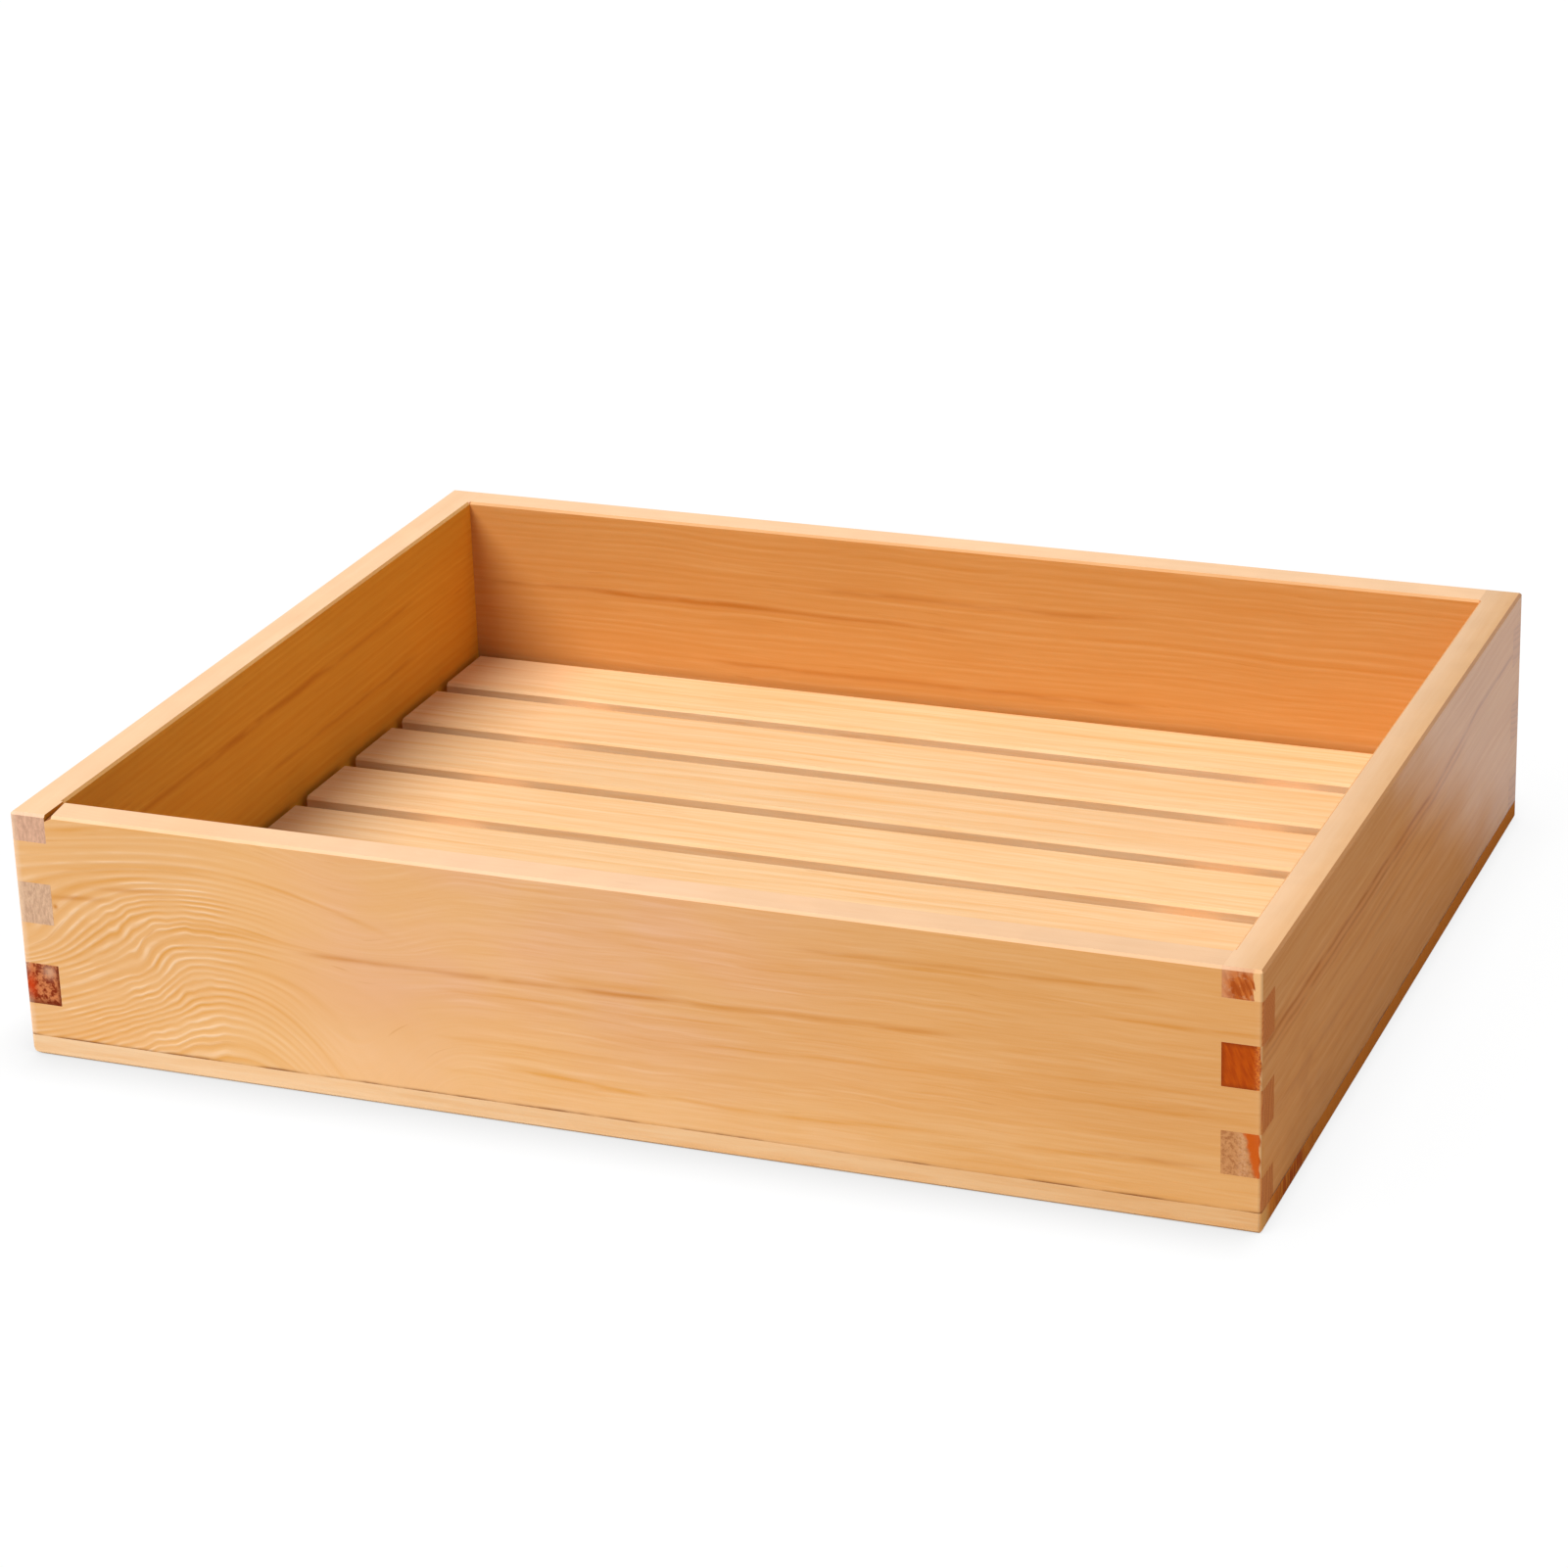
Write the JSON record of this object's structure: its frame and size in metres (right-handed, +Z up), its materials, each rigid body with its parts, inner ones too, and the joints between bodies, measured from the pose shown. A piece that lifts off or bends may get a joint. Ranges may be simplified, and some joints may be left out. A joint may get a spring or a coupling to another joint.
{
  "type": "wooden serving box",
  "caption": "Open rectangular serving box of pale wood boards with finger-jointed corners, a nailed stave floor and a slatted drain rack that lifts out.",
  "frame": {"origin": "on the ground under the middle of the box", "axes": "+X along the front board, +Y from the front to the back, +Z up"},
  "size_m": [0.33, 0.268, 0.068],
  "materials": {
    "wall_wood_front": "bare planed softwood, warm honey colour, satin matte",
    "wall_wood_side": "bare planed softwood, warm honey colour, satin matte",
    "floor_wood": "bare planed softwood, satin matte",
    "rack_wood": "bare planed softwood, matte",
    "bamboo": "split bamboo, satin",
    "brad_steel": "bright wire steel, slightly dulled"
  },
  "bodies": {
    "box": {"front_wall": "wall_wood_front", "back_wall": "wall_wood_front", "left_wall": "wall_wood_side", "right_wall": "wall_wood_side", "floor_stave_1": "floor_wood", "floor_stave_2": "floor_wood", "floor_stave_3": "floor_wood", "floor_stave_4": "floor_wood", "floor_stave_5": "floor_wood", "floor_stave_6": "floor_wood", "floor_brads": "brad_steel"},
    "drain_rack": {"rack_slat_1": "rack_wood", "rack_slat_2": "rack_wood", "rack_slat_3": "rack_wood", "rack_slat_4": "rack_wood", "rack_slat_5": "rack_wood", "rack_slat_6": "rack_wood", "rack_slat_7": "rack_wood", "rack_slat_8": "rack_wood", "rack_batten_left": "rack_wood", "rack_batten_right": "rack_wood", "rack_pins": "bamboo"}
  },
  "joints": [
    {"name": "rack_lift", "type": "slide", "parent": "box", "child": "drain_rack", "axis": [0, 0, 1], "range_m": [0, 0.075]}
  ]
}
